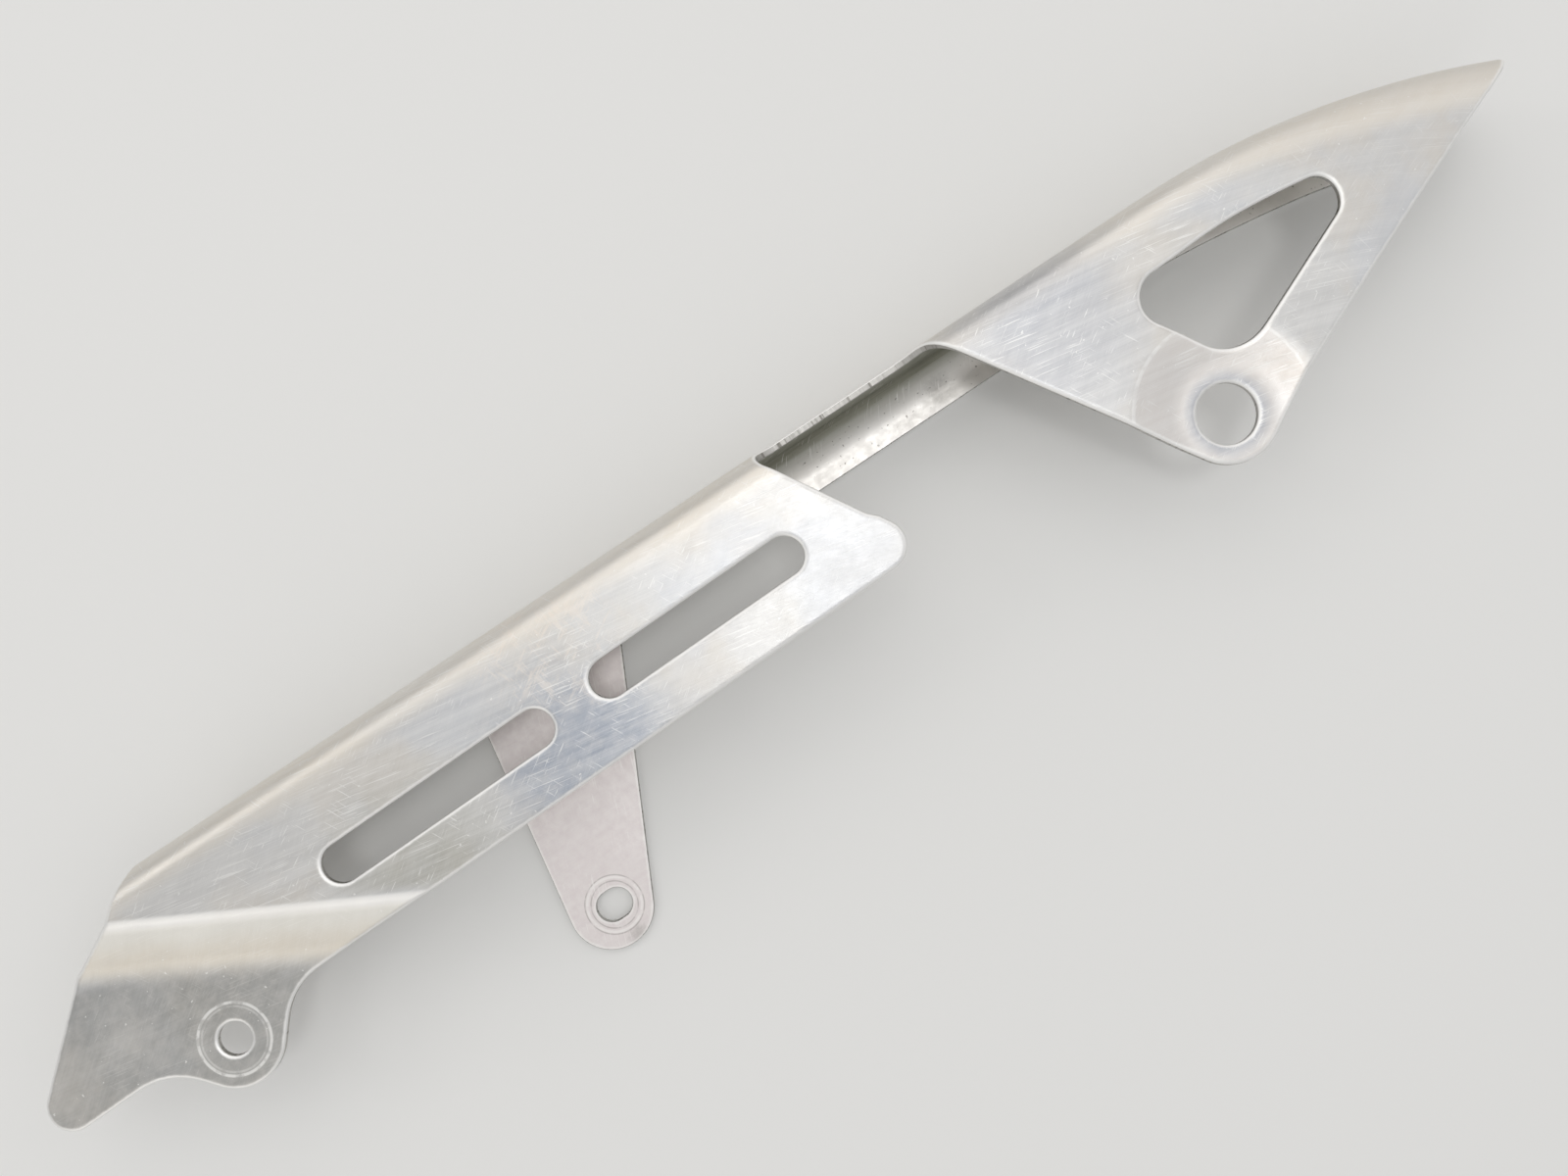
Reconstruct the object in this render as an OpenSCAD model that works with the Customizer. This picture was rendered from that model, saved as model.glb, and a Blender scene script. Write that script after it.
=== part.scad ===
// Chain guard for a motorcycle swingarm, pressed from one aluminium sheet.
// The outer face lies level and faces up (+Z). X runs towards the rear along the straight top
// edge, and Y runs up towards that edge. The origin is the axis of the front mounting hole, at
// the underside of the front foot, which is the face that seats on the swingarm.

/* [Sheet] */
// Thickness of the sheet
sheet = 1.5; // [1:0.1:2]
// Inside radius of the bends in the front step
step_bend_r = 2; // [1:0.5:3]

/* [Channel] */
// Depth over all, from the outer face to the underside of the inner flange
depth = 26; // [23:0.5:34]
// Outside radius where the face turns into the top wall
top_r = 5.3; // [4:0.1:8]
// Outside radius where the top wall turns into the inner flange
low_r = 9.2; // [5:0.1:9.8]
// Width of the inner flange, measured from the outside of the top wall
flange_w = 11.9; // [10.5:0.1:13]
// Height of the straight top edge above the front hole
top_y = 38.95; // [36:0.05:42]
// Radius of the curved top edge at the rear
arc_r = 174.8; // [150:0.1:220]
// Distance from the front hole to where the top edge starts to curve
arc_x = 238.6; // [225:0.1:245]

/* [Front section] */
// Height of the lower edge at the front hole
lower_y = 2.25; // [0:0.05:4]
// Slope of the lower edge and of the slots against the top edge, in degrees
lower_rise = 1.15; // [0:0.05:2]
// Diameter of the front mounting hole
front_hole_d = 6.8; // [5:0.1:8.5]
// Radius of the lobe round the front hole
front_lobe_r = 9.8; // [8:0.1:11]
// Steepness of the lobe's flanks, in degrees
lobe_flank = 50; // [42:1:58]
// Radius where the lobe's flanks run into the lower edge
lobe_blend_r = 14; // [6:1:16]
// Radius of the pointed toe
toe_r = 5.1; // [3:0.1:7]
// Angle of the front edge along the foot, in degrees
toe_angle = 42.6; // [36:0.2:46]
// Angle of the front edge across the step, in degrees
step_edge_angle = 22; // [15:1:30]
// Distance from the front hole to where the front edge above the step would meet the top edge
brow_x = 1.3; // [0:0.1:3]
// Angle of the front edge above the step, in degrees
brow_angle = 43; // [38:1:50]

/* [Front step] */
// How far the front foot lies below the outer face
step_drop = 5; // [2:0.5:8]
// Length of the step's slope, seen from above
step_run = 11.1; // [9:0.1:14]
// Angle of the step's bend lines against the top edge, in degrees
step_angle = 27.8; // [24:0.2:32]
// Distance from the front hole to the foot of the step
step_from_hole = 14.55; // [13:0.05:16]

/* [Slots] */
// Width of both lightening slots
slot_w = 7.9; // [5:0.1:9]
// Width of the strip that is left below the slots
strip_w = 10.1; // [8:0.1:12]
// Distance from the front hole to the front end of the front slot
front_slot_x = 38.5; // [36:0.1:44]
// Length of the front slot between its end centres
front_slot_l = 44.7; // [30:0.1:46.5]
// Length of the rear slot between its end centres
rear_slot_l = 40.6; // [30:0.1:43]
// Distance between the two slots' nearest end centres
slot_gap = 17.4; // [12:0.1:20]

/* [Notch] */
// Where the notch's front edge meets the top edge
notch_x = 145.8; // [145:0.1:150]
// Lean of the notch's front edge, in degrees
notch_lean = 58.8; // [55:0.2:62]
// How far the nose stands out past the notch's front edge
nose_proud = 0.6; // [0:0.1:1.5]
// Height of the small ledge where the nose starts to stand out
nose_ledge_y = 15.5; // [14:0.1:18]
// Radius of the nose below the notch
nose_r = 5.2; // [2:0.1:6]
// How far below the outer face the notch cuts the top wall
notch_depth = 7; // [7:0.1:12]

/* [Rear lobe] */
// Distance of the rear hole behind the front hole
rear_hole_x = 227.4; // [222:0.1:230]
// Height of the rear hole against the front hole
rear_hole_y = -5.1; // [-6:0.05:-3]
// Diameter of the rear hole
rear_hole_d = 12; // [8:0.1:14]
// Radius of the lobe round the rear hole
rear_lobe_r = 10.3; // [9:0.1:12]
// Distance from the rear hole's centre to the notch's rear edge
notch_rim = 9.7; // [8.5:0.1:12]
// Lean of the notch's rear edge, which runs on to the lobe, in degrees
rear_lean = 56.9; // [54:0.1:60]
// Angle of the straight rear edge, in degrees
rear_angle = 23.6; // [21:0.2:26]
// Distance of the rear tip behind the front hole
tip_x = 312; // [304:0.1:318]
// Length of the straight rear edge from the tip
rear_edge_l = 74.2; // [68:0.2:76]
// How far the land round the rear hole is pressed in
dish_drop = 1.5; // [0.5:0.1:2.5]
// Radius of the flat land round the rear hole
dish_land_r = 10; // [8.5:0.5:12]
// Radius at which the pressed area starts
dish_r = 18.5; // [16:0.5:21]

/* [Window] */
// Rim between the window and the top edge
window_rim = 13.5; // [10:0.05:14]
// Strip between the window and the rear edge
window_rear_strip = 11.7; // [10:0.1:15]
// Strip between the window and the notch's rear edge
window_front_strip = 19.9; // [18:0.1:24]
// Radius of the window's front corner
window_front_r = 5.6; // [3:0.1:6.5]
// Radius of the window's lower corner
window_low_r = 9; // [3:0.1:10]
// Radius of the window's rear corner
window_rear_r = 4.3; // [2.5:0.1:5]

/* [Inner tab] */
// Where the tab's front edge leaves the flange
tab_x = 69; // [60:0.5:74]
// Width of the tab where it leaves the flange
tab_w = 35.5; // [28:0.5:40]
// Distance of the tab's end centre behind the front hole
tab_end_x = 70.1; // [66:0.1:74]
// Distance of the tab's end centre below the front hole
tab_end_drop = 21.9; // [16:0.1:26]
// Radius of the tab's round end
tab_end_r = 9.1; // [7.5:0.1:11]
// Radius where the tab's edges run into the flange
tab_root_r = 4; // [1:0.5:6]
// Width of the slotted hole in the tab
tab_hole_w = 6.6; // [5:0.1:8]
// Length over all of the slotted hole in the tab
tab_hole_l = 7.9; // [7.5:0.1:10]
// How far the slotted hole sits behind the tab's end centre
tab_hole_shift = 0.9; // [0:0.1:1.5]

/* [Hidden] */
$fn = 96;

arc_tolerance = 0.01;
over = 5;
face_z = step_drop + sheet;
flange_z = face_z - depth;
notch_z = face_z - notch_depth;
arc_centre = [arc_x, top_y - arc_r];
lip_y = top_y - flange_w;
face_low_y = -40;
arc_sweep = 1.5 * asin((tip_x - arc_x) / arc_r);
rear_hole = [rear_hole_x, rear_hole_y];
tab_end = [tab_end_x, -tab_end_drop];

// Straight lines are held as [point, direction].
function along(angle) = [cos(angle), sin(angle)];
function left_of(dir) = [-dir.y, dir.x];
function line(point, angle) = [point, along(angle)];
function shifted(l, by) = [l[0] + by * left_of(l[1]), l[1]];
function cross2(a, b) = a.x * b.y - a.y * b.x;
function meet(l, m) = l[0] + l[1] * cross2(m[0] - l[0], m[1]) / cross2(l[1], m[1]);
function with_r(point, r) = [point.x, point.y, r];

// Where a line first meets a circle, coming along its direction.
function first_on_circle(l, centre, r) =
    let (from = l[0] - centre, b = from * l[1])
    l[0] - (b + sqrt(b * b - from * from + r * r)) * l[1];

// The line from a point that touches a circle: side is 1 to pass it on the left, -1 on the right.
function heading(v) = atan2(v.y, v.x);
function tangent(point, centre, r, side) =
    line(point, heading(centre - point) + side * asin(r / norm(centre - point)));

// An outline from corners [x, y, radius], with each rounded corner as an arc.
function unit(v) = v / norm(v);
function xy(p) = [p.x, p.y];
function turn(from, to) = let (d = heading(to) - heading(from)) d - 360 * round(d / 360);
function arc_steps(r, sweep) = max(1, ceil(abs(sweep) / (2 * acos(1 - arc_tolerance / r))));
function arc(centre, from, to) =
    let (r = norm(from), sweep = turn(from, to), steps = arc_steps(r, sweep))
    [for (i = [0:steps]) centre + r * along(heading(from) + sweep * i / steps)];
function corner(before, at, after) =
    let (u = unit(xy(before) - xy(at)), w = unit(xy(after) - xy(at)),
        half = acos(u * w) / 2, r = at[2],
        centre = xy(at) + unit(u + w) * r / sin(half))
    arc(centre, xy(at) + u * r / tan(half) - centre, xy(at) + w * r / tan(half) - centre);
function rounded(corners) =
    let (n = len(corners))
    [for (i = [0:n - 1]) each corners[i][2] == 0
        ? [xy(corners[i])]
        : corner(corners[(i + n - 1) % n], corners[i], corners[(i + 1) % n])];

// Edges of the flat pattern, seen from above.
top_line = line([0, top_y], 0);
beyond_top = shifted(top_line, over);
lower_line = line([0, lower_y], lower_rise);
step_foot = line(step_from_hole * along(90 - step_angle), -step_angle);
step_brow = shifted(step_foot, step_run);
brow_edge = line([brow_x, top_y], 180 + brow_angle);
step_edge = line(meet(brow_edge, step_brow), 180 + step_edge_angle);
toe_edge = line(meet(step_edge, step_foot), 180 + toe_angle);
lobe_apex = [0, -front_lobe_r / cos(lobe_flank)];
lobe_front_flank = line(lobe_apex, 180 - lobe_flank);
lobe_rear_flank = line(lobe_apex, lobe_flank);
notch_front = line([notch_x, top_y], -notch_lean);
nose_edge = shifted(notch_front, nose_proud);
nose_ledge = line([0, nose_ledge_y], 0);
notch_rear = shifted(line(rear_hole, 180 - rear_lean), notch_rim);
tip = [tip_x, arc_centre.y + sqrt(arc_r * arc_r - (tip_x - arc_x) * (tip_x - arc_x))];
rear_edge = line(tip, 180 + rear_angle);
heel = tip + rear_edge_l * rear_edge[1];
heel_edge = tangent(heel, rear_hole, rear_lobe_r, 1);

// Front part of the face, from the toe to the nose below the notch.
module front_outline() {
    polygon(rounded([
        with_r(meet(toe_edge, lower_line), toe_r),
        with_r(meet(lower_line, lobe_front_flank), lobe_blend_r),
        with_r(lobe_apex, front_lobe_r),
        with_r(meet(lobe_rear_flank, lower_line), lobe_blend_r),
        with_r(meet(lower_line, nose_edge), nose_r),
        with_r(meet(nose_edge, nose_ledge), 0),
        with_r(meet(notch_front, shifted(nose_ledge, 3 * nose_proud)), 0),
        with_r(meet(notch_front, beyond_top), 0),
        with_r(meet(brow_edge, beyond_top), 0),
        with_r(meet(brow_edge, step_brow), step_run / 2),
        with_r(meet(step_edge, step_foot), step_run / 2),
    ]));
}

// Rear part of the face, from the notch to the tip, running out past the curved top edge.
module rear_outline() {
    polygon(rounded([
        with_r(meet(notch_rear, heel_edge), rear_lobe_r),
        with_r(heel, rear_lobe_r),
        with_r(tip - 2 * over * rear_edge[1], 0),
        with_r(tip + [2 * over, top_y], 0),
        with_r(meet(notch_rear, beyond_top), 0),
    ]));
}

// Waste of a rounded corner: what lies outside a quarter circle, with the corner up and right.
module corner_waste(r) {
    difference() {
        square(r + over);
        circle(r);
    }
}

// Solid block behind the sheet's outer or inner skin, seen along the guard.
module section_block(skin) {
    low = flange_z + skin;
    high = face_z - skin;
    wall = top_y - skin;
    difference() {
        translate([face_low_y, low])
            square([wall - face_low_y, high - low]);
        translate([wall - top_r + skin, high - top_r + skin])
            corner_waste(top_r - skin);
        translate([wall - low_r + skin, low + low_r - skin])
            mirror([0, 1])
                corner_waste(low_r - skin);
    }
}

module channel_section() {
    difference() {
        section_block(0);
        section_block(sheet);
        translate([face_low_y - over, flange_z - over])
            square([lip_y - face_low_y + over, depth - sheet]);
    }
}

module face_section() {
    intersection() {
        channel_section();
        translate([face_low_y, notch_z])
            square([top_y - face_low_y + over, notch_depth + over]);
    }
}

module spine_section() {
    intersection() {
        channel_section();
        translate([0, flange_z - over])
            square([top_y + over, notch_z - flange_z + over]);
    }
}

// Sweeps a section along the straight top edge from x = start, then round the rear curve.
module swept(start) {
    translate([start, 0, 0])
        rotate([90, 0, 90])
            linear_extrude(arc_x - start)
                children();
    translate([arc_centre.x, arc_centre.y, 0])
        mirror([1, 0, 0])
            rotate([0, 0, 90])
                rotate_extrude(angle = arc_sweep)
                    translate([-arc_centre.y, 0])
                        children();
}

module face_blank() {
    difference() {
        swept(-over * 10)
            face_section();
        step_area(face_z - notch_depth - over, notch_depth + 2 * over);
        translate([rear_hole.x, rear_hole.y, face_z - 2 * sheet])
            cylinder(r = dish_r + sheet, h = 4 * sheet);
    }
}

// The step starts just before its upper bend and takes everything in front of that.
step_reach = 4 * top_y;
step_slope = atan(step_drop / step_run);
step_lead = (step_bend_r + sheet) * tan(step_slope / 2) + step_bend_r;

module step_area(z, h) {
    rotate([0, 0, 270 - step_angle])
        translate([-step_from_hole - step_run - step_lead, -step_reach / 2, z])
            cube([step_reach, step_reach, h]);
}

// The sheet's path over the front step, seen along its bend lines.
module front_step() {
    brow = -step_from_hole - step_run;
    back = sheet * tan(step_slope / 2);
    outer_r = step_bend_r + sheet;
    rotate([0, 0, 270 - step_angle])
        rotate([90, 0, 0])
            linear_extrude(step_reach, center = true)
                polygon(rounded([
                    [brow - step_lead, face_z, 0],
                    [brow - step_lead, face_z - sheet, 0],
                    [brow - back, face_z - sheet, step_bend_r],
                    [brow + step_run - back, 0, outer_r],
                    [step_reach / 2, 0, 0],
                    [step_reach / 2, sheet, 0],
                    [brow + step_run, sheet, step_bend_r],
                    [brow, face_z, outer_r],
                ]));
}

// Land and sloping rim that are pressed into the face round the rear hole.
module rear_dish() {
    land_z = face_z - dish_drop;
    rim_r = dish_r + sheet;
    translate([rear_hole.x, rear_hole.y, 0])
        rotate_extrude()
            polygon(rounded([
                [0, land_z - sheet, 0],
                [dish_land_r, land_z - sheet, 2 * sheet],
                [dish_r, face_z - sheet, 2 * sheet],
                [rim_r, face_z - sheet, 0],
                [rim_r, face_z, 0],
                [dish_r, face_z, 2 * sheet],
                [dish_land_r, land_z, 2 * sheet],
                [0, land_z, 0],
            ]));
}

module face() {
    intersection() {
        union() {
            face_blank();
            front_step();
            rear_dish();
        }
        translate([0, 0, min(notch_z, 0) - over])
            linear_extrude(depth) {
                front_outline();
                rear_outline();
            }
    }
}

// Top wall below the face and the inner flange, trimmed at the rear by the face's own outline.
module spine() {
    intersection() {
        swept(brow_x)
            spine_section();
        translate([0, 0, flange_z - over])
            linear_extrude(depth) {
                square([rear_hole_x, top_y + over]);
                rear_outline();
            }
    }
}

module tab() {
    front_side = tangent([tab_x, lip_y], tab_end, tab_end_r, -1);
    rear_side = tangent([tab_x + tab_w, lip_y], tab_end, tab_end_r, 1);
    root_y = lip_y + (flange_w - low_r) / 2;
    run_out = 3 * tab_root_r;
    translate([0, 0, flange_z])
        linear_extrude(sheet)
            polygon(rounded([
                [tab_x - run_out, root_y, 0],
                [tab_x - run_out, lip_y, 0],
                [tab_x, lip_y, tab_root_r],
                with_r(meet(front_side, rear_side), tab_end_r),
                [tab_x + tab_w, lip_y, tab_root_r],
                [tab_x + tab_w + run_out, lip_y, 0],
                [tab_x + tab_w + run_out, root_y, 0],
            ]));
}

// Obround of the given width and distance between its end centres, along +X from the first.
module obround(w, run) {
    r = w / 2;
    steps = arc_steps(r, 180);
    polygon([for (end = [0, 1], i = [0:steps]) [end * run, 0] + r * along(90 + 180 * (end + i / steps))]);
}

module slots() {
    slot_y = lower_y + (strip_w + slot_w / 2) / cos(lower_rise);
    rear_slot_x = front_slot_x + front_slot_l + slot_gap;
    translate([0, slot_y])
        rotate(lower_rise) {
            translate([front_slot_x, 0])
                obround(slot_w, front_slot_l);
            translate([rear_slot_x, 0])
                obround(slot_w, rear_slot_l);
        }
}

// Window whose three sides run beside the top edge, the rear edge and the notch.
module window() {
    rim_r = arc_r - window_rim;
    rim_straight = shifted(top_line, -window_rim);
    front_side = shifted(notch_rear, -window_front_strip);
    rear_side = shifted(rear_edge, -window_rear_strip);
    rear_corner = first_on_circle(shifted(rear_side, -window_rear_r), arc_centre, rim_r - window_rear_r);
    rim_turn = heading(rear_corner - arc_centre);
    rim_far = line(arc_centre + rim_r * along(rim_turn), rim_turn - 90);
    polygon(rounded([
        with_r(meet(front_side, rim_straight), window_front_r),
        with_r(meet(front_side, rear_side), window_low_r),
        with_r(meet(rear_side, rim_far), window_rear_r),
        with_r(meet(rim_far, rim_straight), rim_r),
    ]));
}

module face_openings() {
    slots();
    window();
    circle(d = front_hole_d);
    translate(rear_hole)
        circle(d = rear_hole_d);
}

module chain_guard() {
    tab_hole_run = tab_hole_l - tab_hole_w;
    color("silver")
        difference() {
            union() {
                face();
                spine();
                tab();
            }
            translate([0, 0, -sheet])
                linear_extrude(face_z + 2 * sheet)
                    face_openings();
            translate([tab_end.x + tab_hole_shift - tab_hole_run / 2, tab_end.y, flange_z - sheet])
                linear_extrude(3 * sheet)
                    obround(tab_hole_w, tab_hole_run);
        }
}

chain_guard();
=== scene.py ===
import bpy
from math import acos, asin, atan2, ceil, cos, degrees, hypot, pi, radians, sin, sqrt, tan
import numpy as np
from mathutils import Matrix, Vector
from mathutils.geometry import delaunay_2d_cdt


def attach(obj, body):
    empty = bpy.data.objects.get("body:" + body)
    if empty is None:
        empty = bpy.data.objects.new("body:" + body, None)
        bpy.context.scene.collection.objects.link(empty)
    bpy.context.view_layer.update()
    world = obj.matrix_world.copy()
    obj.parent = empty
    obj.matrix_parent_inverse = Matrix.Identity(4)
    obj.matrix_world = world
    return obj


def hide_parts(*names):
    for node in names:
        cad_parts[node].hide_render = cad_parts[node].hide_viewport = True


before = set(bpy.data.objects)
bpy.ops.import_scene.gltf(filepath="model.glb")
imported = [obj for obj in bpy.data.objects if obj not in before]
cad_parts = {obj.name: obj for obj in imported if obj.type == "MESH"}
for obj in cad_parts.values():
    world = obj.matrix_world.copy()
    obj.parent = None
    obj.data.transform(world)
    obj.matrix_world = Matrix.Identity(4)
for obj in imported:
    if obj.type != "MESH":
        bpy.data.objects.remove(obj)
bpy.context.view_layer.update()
print("frame loaded")

cameraSettings = {
    "lens": 27.0,
    "sensor": 36.0,
    "place": (0.13788, 0.01407, 0.2308),
    "turn": -33.57,  # how far the picture is turned against the guard, in degrees
}

floorSettings = {
    "height": -0.01955,
    "size": 6.0,
    "colour": (0.80, 0.80, 0.79),
    "roughness": 0.9,
}

studioSettings = {
    "world": 0.55,
    "aim": (0.14, 0.01, 0),
}

lampSettings = {
    "overhead": {"place": (0.255, -0.01, 1.25), "size": 0.26, "watts": 1.72, "colour": (1.0, 1.0, 0.99)},
    "window": {"place": (0.22, 0.75, 0.95), "size": 1.1, "watts": 2.6, "colour": (1.0, 0.975, 0.94)},
    "side": {"place": (1.05, -0.25, 1.1), "size": 1.2, "watts": 1.2, "colour": (0.97, 0.98, 1.0)},
    "left": {"place": (-0.45, 0.05, 1.2), "size": 0.5, "watts": 0.2, "colour": (1.0, 0.99, 0.97)},
    "corner": {"place": (-0.52, 0.68, 0.66), "size": 0.3, "watts": 0.5, "colour": (1.0, 0.99, 0.97)},
    "far": {"place": (1.05, 0.52, 0.5), "size": 1.2, "watts": 1.35, "colour": (1.0, 0.955, 0.91)},
    "low": {"place": (-0.66, -0.42, 0.58), "size": 0.75, "watts": 1.1, "colour": (1.0, 0.96, 0.90)},
}


def makeCamera(s):
    data = bpy.data.cameras.new("camera")
    data.lens = s["lens"]
    data.sensor_width = s["sensor"]
    data.sensor_fit = "HORIZONTAL"
    data.clip_start = 0.01
    camera = bpy.data.objects.new("camera", data)
    camera.location = s["place"]
    camera.rotation_euler = (0, 0, radians(s["turn"]))
    bpy.context.scene.collection.objects.link(camera)
    bpy.context.scene.camera = camera


def makeFloor(s):
    half, z = s["size"] / 2, s["height"]
    mesh = bpy.data.meshes.new("floor")
    corners = [(-half, -half, z), (half, -half, z), (half, half, z), (-half, half, z)]
    mesh.from_pydata(corners, [], [(0, 1, 2, 3)])
    floor = bpy.data.objects.new("floor", mesh)
    bpy.context.scene.collection.objects.link(floor)
    paint = bpy.data.materials.new("floor_paint")
    paint.use_nodes = True
    shader = paint.node_tree.nodes["Principled BSDF"]
    shader.inputs["Base Color"].default_value = (*s["colour"], 1)
    shader.inputs["Roughness"].default_value = s["roughness"]
    mesh.materials.append(paint)


def makeLamp(name, s, aim):
    data = bpy.data.lights.new(name, "AREA")
    data.shape = "SQUARE"
    data.size = s["size"]
    data.energy = s["watts"]
    data.color = s["colour"]
    lamp = bpy.data.objects.new(name, data)
    lamp.location = s["place"]
    lamp.rotation_euler = (Vector(aim) - Vector(s["place"])).to_track_quat("-Z", "Y").to_euler()
    bpy.context.scene.collection.objects.link(lamp)


makeCamera(cameraSettings)
makeFloor(floorSettings)
for lampName, lampValues in lampSettings.items():
    makeLamp(lampName, lampValues, studioSettings["aim"])
world = bpy.data.worlds.new("studio")
bpy.context.scene.world = world
world.use_nodes = True
background = world.node_tree.nodes["Background"].inputs
background["Color"].default_value = (1, 1, 1, 1)
background["Strength"].default_value = studioSettings["world"]
bpy.context.scene.view_settings.view_transform = "Standard"
print("camera, floor and lamps are in place")

# The sheet's sizes, in mm and degrees.
sheetSizes = {
    "thickness": 1.5,
    "depth": 26.0,
    "faceHeight": 6.5,
    "topEdge": 38.95,
    "upperBend": 5.3,
    "upperBendRear": 7.2,
    "bendGrows": (230, 290),  # where the upper bend's radius grows
    "lowerBend": 9.2,
    "flange": 11.9,
    "lipProud": 0.9,  # how much wider the flange is under the window
    "lipWidest": 263,
    "lipSpread": 21,
    "curveStart": 238.6,
    "curveRadius": 174.8,
    "frontEnd": 2.4,
    "stepDrop": 5.0,
    "stepRun": 11.1,
    "stepAngle": 27.8,
    "stepFromHole": 14.55,
    "stepBrowSoft": 0.9,
    "stepFootSoft": 2.6,
    "dishDrop": 1.5,
    "dishLand": 10.0,
    "dishLandSoft": 1.4,
    "dishRim": 18.5,
    "dishRimSoft": 1.1,
    "rollWidth": 1.05,  # how far the punch drew the edges in, on the outer skin
    "rollDepth": 0.42,
    "burrWidth": 0.14,
}

outlineSizes = {
    "lowerEdge": 2.25,
    "lowerRise": 1.15,
    "lobeRadius": 9.8,
    "lobeFlank": 50.0,
    "lobeBlend": 14.0,
    "toeRadius": 5.1,
    "toeAngle": 42.6,
    "stepEdgeAngle": 22.0,
    "browX": 1.3,
    "browAngle": 43.0,
    "notchX": 145.8,
    "notchLean": 58.8,
    "notchFloor": -0.5,  # height of the wall's cut edge in the notch
    "notchSplit": 20,  # height at which the outline's front and rear runs meet
    "notchFrontRound": 5.2,
    "notchRearRound": 10.5,
    "noseProud": 0.6,
    "noseLedge": 15.5,
    "noseRadius": 5.2,
    "ledgeRound": 1.4,
    "frontRound": 6,
    "lipRound": 2,
    "rearHole": (227.4, -5.1),
    "rearLobe": 10.3,
    "notchRim": 9.7,
    "rearLean": 56.9,
    "rearAngle": 23.6,
    "tipX": 312.0,
    "rearEdge": 74.2,
    "rearBow": 0.45,
    "bowEnd": 8,  # how far from the tip the bow ends
    "cutGap": 0.3,
    "lipEnd": 305,
    "lipStart": 200,  # where the outline starts
    "tabX": 69.0,
    "tabWidth": 35.5,
    "tabEnd": (70.1, -21.9),
    "tabRadius": 9.1,
    "tabRoot": 4.0,
}

openingSizes = {
    "frontHole": 6.8,
    "rearHole": 12.0,
    "slotWidth": 7.9,
    "slotStrip": 10.1,
    "slotX": 38.5,
    "frontSlot": 44.7,
    "rearSlot": 40.6,
    "slotGap": 17.4,
    "windowRim": 13.5,
    "windowLift": 0.72,
    "liftAcross": (17, 25),
    "liftAlong": (229, 251),
    "windowRear": 11.7,
    "windowFront": 19.9,
    "windowFrontRound": 5.6,
    "windowLowRound": 9.0,
    "windowRearRound": 4.3,
    "tabHoleWidth": 6.6,
    "tabHoleLength": 7.9,
    "tabHoleShift": 0.9,
}

# How close the mesh's points are, in mm on the flat pattern, and where they are closer.
meshSizes = {
    "grid": 2.2,
    "runs": (-24, 318),
    "faceRows": (0.45, 52),
    "flangeRows": (0.9, 60),
    "wallRows": 5,
    "bendTurn": 9,
    "bendSpacing": 0.6,
    "bendReach": (-0.6, 12),
    "wallSpacing": 1.2,
    "stepSpacing": 0.7,
    "stepReach": (-1.5, 3),
    "faceSpacing": 1.4,
    "stepClear": (-1.9, 3.8),
    "stepHalf": 70,
    "stepPitch": 1.5,
    "stepMargins": (0.5, 0.9),
    "slopeRows": (3.4, 5.2, 7.0),
    "footRows": (-1, -0.66, -0.33, 0, 0.33, 0.66, 1),
    "dishClear": 2.6,
    "dishRings": (6.6, 7.6, 8.6, 9.3, 10, 10.7, 11.4, 12.8, 14.3, 15.8, 17.4, 17.9, 18.5, 19.1, 19.6, 20.3),
    "edgeClear": 0.75,
    "rollSteps": 5,
}

chunk = 4000  # points handled at once

# Plane geometry: a line is (point, direction).
def along(angle):
    return np.array([cos(radians(angle)), sin(radians(angle))])


def leftOf(d):
    return np.array([-d[1], d[0]])


def lineAt(point, angle):
    return np.array(point, float), along(angle)


def shifted(line, by):
    return line[0] + by * leftOf(line[1]), line[1]


def cross(a, b):
    return a[0] * b[1] - a[1] * b[0]


def meet(a, b):
    return a[0] + a[1] * cross(b[0] - a[0], b[1]) / cross(a[1], b[1])


def headingOf(v):
    return degrees(atan2(v[1], v[0]))


def tangentLine(point, centre, radius, side):
    gap = np.array(centre) - point
    return lineAt(point, headingOf(gap) + side * degrees(asin(radius / np.linalg.norm(gap))))


def roundedCorner(before, corner, after, radius, stepLength=0.7):
    a, b = before - corner, after - corner
    a, b = a / np.linalg.norm(a), b / np.linalg.norm(b)
    half = acos(max(-1, min(1, float(a @ b)))) / 2
    bisector = (a + b) / np.linalg.norm(a + b)
    centre = corner + bisector * radius / sin(half)
    start = corner + a * radius / tan(half) - centre
    end = corner + b * radius / tan(half) - centre
    first = atan2(start[1], start[0])
    sweep = (atan2(end[1], end[0]) - first + pi) % (2 * pi) - pi
    count = max(4, int(abs(sweep) * radius / stepLength), int(abs(sweep) / radians(9)))
    turns = first + sweep * np.arange(count + 1) / count
    return [centre + radius * np.array([cos(t), sin(t)]) for t in turns]


def roundedPath(corners, closed=True):
    count, path = len(corners), []
    for i, (point, radius) in enumerate(corners):
        point = np.array(point, float)
        if radius == 0 or (not closed and i in (0, count - 1)):
            path.append(point)
        else:
            before = np.array(corners[i - 1][0], float)
            after = np.array(corners[(i + 1) % count][0], float)
            path += roundedCorner(before, point, after, radius)
    return np.array(path)


# The sheet's flat pattern: u runs along the top edge, w across from the lower edge, over the top bend,
# down the wall and back along the flange. Places in it are in mm.
def bendAt(u):
    s = sheetSizes
    first, last = s["bendGrows"]
    t = np.clip((np.asarray(u, float) - first) / (last - first), 0, 1)
    return s["upperBend"] + (s["upperBendRear"] - s["upperBend"]) * t * t * (3 - 2 * t)


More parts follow.
